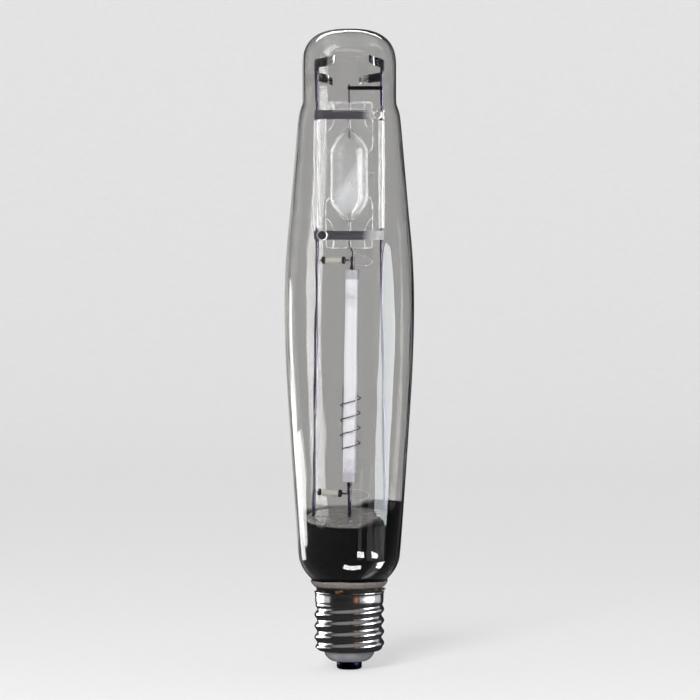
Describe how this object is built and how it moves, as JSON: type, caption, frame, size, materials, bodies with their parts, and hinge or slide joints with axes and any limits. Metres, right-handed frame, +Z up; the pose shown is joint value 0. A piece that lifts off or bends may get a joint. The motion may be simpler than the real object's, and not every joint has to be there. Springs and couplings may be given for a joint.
{
  "type": "grow lamp",
  "caption": "Screw-base dual-arc discharge grow lamp: a metal halide arc tube above a high pressure sodium arc tube on one wire mount in a long clear bulb.",
  "frame": {"origin": "centre of the flat face of the base's centre contact", "axes": "+Z up the lamp's axis from the base to the dome, X in the plane of the wire mount, +X towards the side where the shell's lead is soldered, -Y towards the viewer of the front"},
  "size_m": [0.0728, 0.0728, 0.36],
  "materials": {
    "bulb_glass": "clear blown hard glass with a faint neutral tint",
    "quartz": "clear fused quartz",
    "stem_glass": "clear pressed glass",
    "getter_film": "black mirror film of evaporated getter metal",
    "nickel_plate": "bright nickel plate on rolled brass",
    "contact_metal": "worn solder-faced eyelet",
    "white_vitrite": "glossy grey-white moulded glass insulator",
    "base_cement": "matt baked basing cement",
    "solder": "dull solder with brass showing through",
    "copper_lead": "bare copper wire",
    "shield_steel": "satin nickelled sheet",
    "bright_steel": "bright drawn nickelled steel",
    "molybdenum_rod": "smooth dark drawn rod",
    "dark_strap_steel": "dark oxidised strip and wire",
    "getter_channel": "pressed steel ring with spent getter powder",
    "tungsten": "matt drawn tungsten",
    "seal_foil": "etched molybdenum foil",
    "alumina": "translucent white sintered alumina",
    "alumina_plug": "greyish sintered alumina with sealing frit",
    "niobium": "dark grey drawn niobium",
    "ceramic": "cream steatite"
  },
  "bodies": {
    "lamp": {"base_cement": "base_cement", "base_insulator": "white_vitrite", "centre_contact": "contact_metal", "centre_lead_rod": "molybdenum_rod", "contact_lead_wire": "copper_lead", "dome_cross_wire": "bright_steel", "dome_spring_left_back": "dark_strap_steel", "dome_spring_left_front": "dark_strap_steel", "dome_spring_right_back": "dark_strap_steel", "dome_spring_right_front": "dark_strap_steel", "exhaust_tube": "stem_glass", "getter_holder": "bright_steel", "getter_mirror": "getter_film", "getter_ring": "getter_channel", "heat_shield": "shield_steel", "left_frame_rod": "molybdenum_rod", "left_quartz_sleeve": "quartz", "lower_clamp_back": "dark_strap_steel", "lower_clamp_eyelet": "bright_steel", "lower_clamp_front": "dark_strap_steel", "lower_flex_loop": "bright_steel", "lower_insulator": "ceramic", "lower_insulator_left_cap": "dark_strap_steel", "lower_insulator_right_cap": "dark_strap_steel", "mh_arc_tube": "quartz", "mh_lower_electrode": "tungsten", "mh_lower_foil": "seal_foil", "mh_lower_lead": "dark_strap_steel", "mh_upper_electrode": "tungsten", "mh_upper_foil": "seal_foil", "mh_upper_lead": "dark_strap_steel", "outer_bulb": "bulb_glass", "right_frame_rod": "molybdenum_rod", "right_quartz_sleeve": "quartz", "screw_shell": "nickel_plate", "shell_lead_wire": "copper_lead", "shield_clip_left": "bright_steel", "shield_clip_right": "bright_steel", "side_solder_joint": "solder", "stem_flare": "stem_glass", "top_link_bar": "molybdenum_rod", "upper_clamp_back": "dark_strap_steel", "upper_clamp_eyelet": "bright_steel", "upper_clamp_front": "dark_strap_steel", "upper_flex_loop": "bright_steel", "upper_insulator": "ceramic", "upper_insulator_left_cap": "dark_strap_steel", "upper_insulator_right_cap": "dark_strap_steel"},
    "sodium_tube": {"hps_arc_tube": "alumina", "hps_lower_plug": "alumina_plug", "hps_upper_plug": "alumina_plug", "hps_lower_niobium_tube": "niobium", "hps_upper_niobium_tube": "niobium", "hps_lower_electrode": "tungsten", "hps_upper_electrode": "tungsten", "starting_coil": "dark_strap_steel", "starting_wire": "dark_strap_steel"}
  },
  "joints": [
    {"name": "sodium_tube_expansion", "type": "slide", "parent": "lamp", "child": "sodium_tube", "axis": [0.0143, 0, 0.9999], "range_m": [0, 0.0011]}
  ]
}
